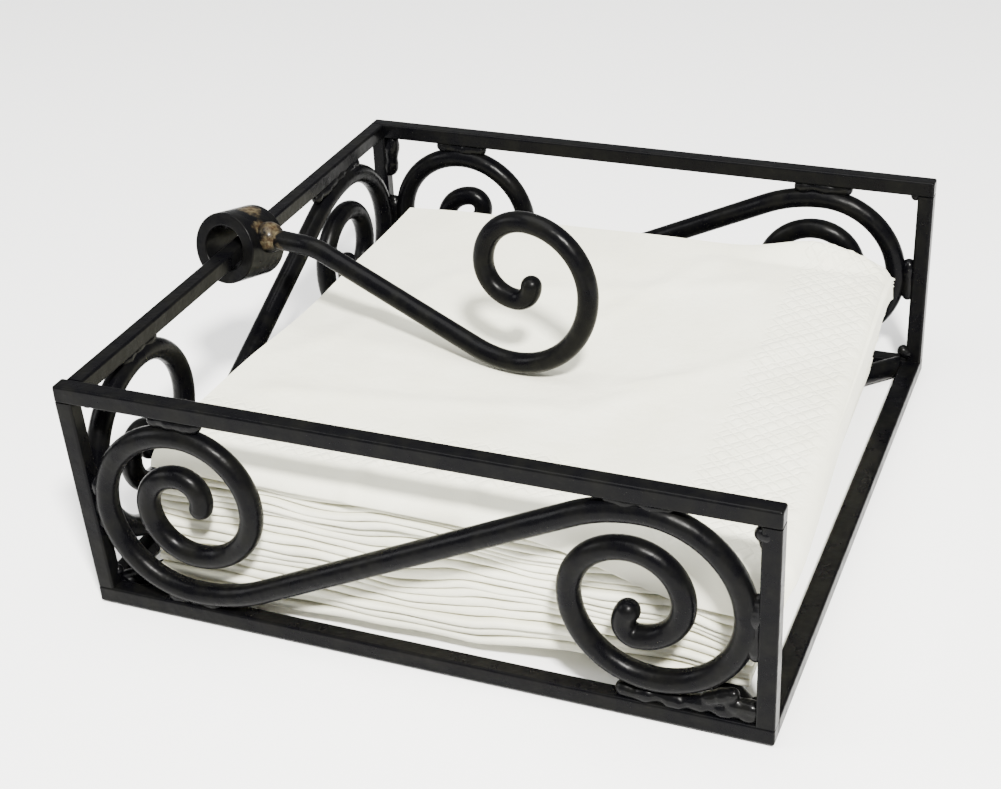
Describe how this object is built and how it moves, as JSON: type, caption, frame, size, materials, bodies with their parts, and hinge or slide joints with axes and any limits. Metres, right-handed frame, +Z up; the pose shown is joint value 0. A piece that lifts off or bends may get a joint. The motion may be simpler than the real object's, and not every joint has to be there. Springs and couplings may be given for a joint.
{
  "type": "napkin dispenser",
  "caption": "Open-sided counter tray of welded square bar with scrollwork, and a swinging coiled arm that holds folded paper napkins down.",
  "frame": {"origin": "bottom centre of the bounding box, on the surface that the tray stands on", "axes": "+X to the right, towards the tray's open side; +Y from the front to the back; +Z up"},
  "size_m": [0.1972, 0.1924, 0.0911],
  "materials": {
    "black_steel": "semi-gloss black paint over hand-welded mild steel",
    "napkin_paper": "matt white embossed tissue paper"
  },
  "bodies": {
    "tray": {"bottom_rail_back": "black_steel", "bottom_rail_front": "black_steel", "bottom_rail_left": "black_steel", "bottom_rail_right": "black_steel", "floor_rod_half_back": "black_steel", "floor_rod_half_front": "black_steel", "floor_rod_long": "black_steel", "post_back_left": "black_steel", "post_back_right": "black_steel", "post_front_left": "black_steel", "post_front_right": "black_steel", "scroll_back": "black_steel", "scroll_front": "black_steel", "scroll_left": "black_steel", "top_rail_back": "black_steel", "top_rail_front": "black_steel", "top_rail_left": "black_steel", "welds_bottom_corners": "black_steel", "welds_floor": "black_steel", "welds_scroll_back": "black_steel", "welds_scroll_front": "black_steel", "welds_scroll_left": "black_steel", "welds_top_corners": "black_steel"},
    "holding_arm": {"pivot_sleeve": "black_steel", "arm_rod": "black_steel", "arm_weld": "black_steel"},
    "napkins": {"napkin_stack": "napkin_paper"},
    "napkin_on_top": {"top_napkin": "napkin_paper"}
  },
  "joints": [
    {"name": "arm_swing", "type": "hinge", "parent": "tray", "child": "holding_arm", "pos_m": [-0.08598, -0.00175, 0.0636], "axis": [0, -1, 0], "range_deg": [0, 202]},
    {"name": "napkin_stack_slide", "type": "slide", "parent": "tray", "child": "napkins", "axis": [1, 0, 0], "range_m": [0, 0.18]},
    {"name": "top_napkin_pull", "type": "slide", "parent": "napkins", "child": "napkin_on_top", "axis": [1, 0, 0], "range_m": [0, 0.18]}
  ]
}
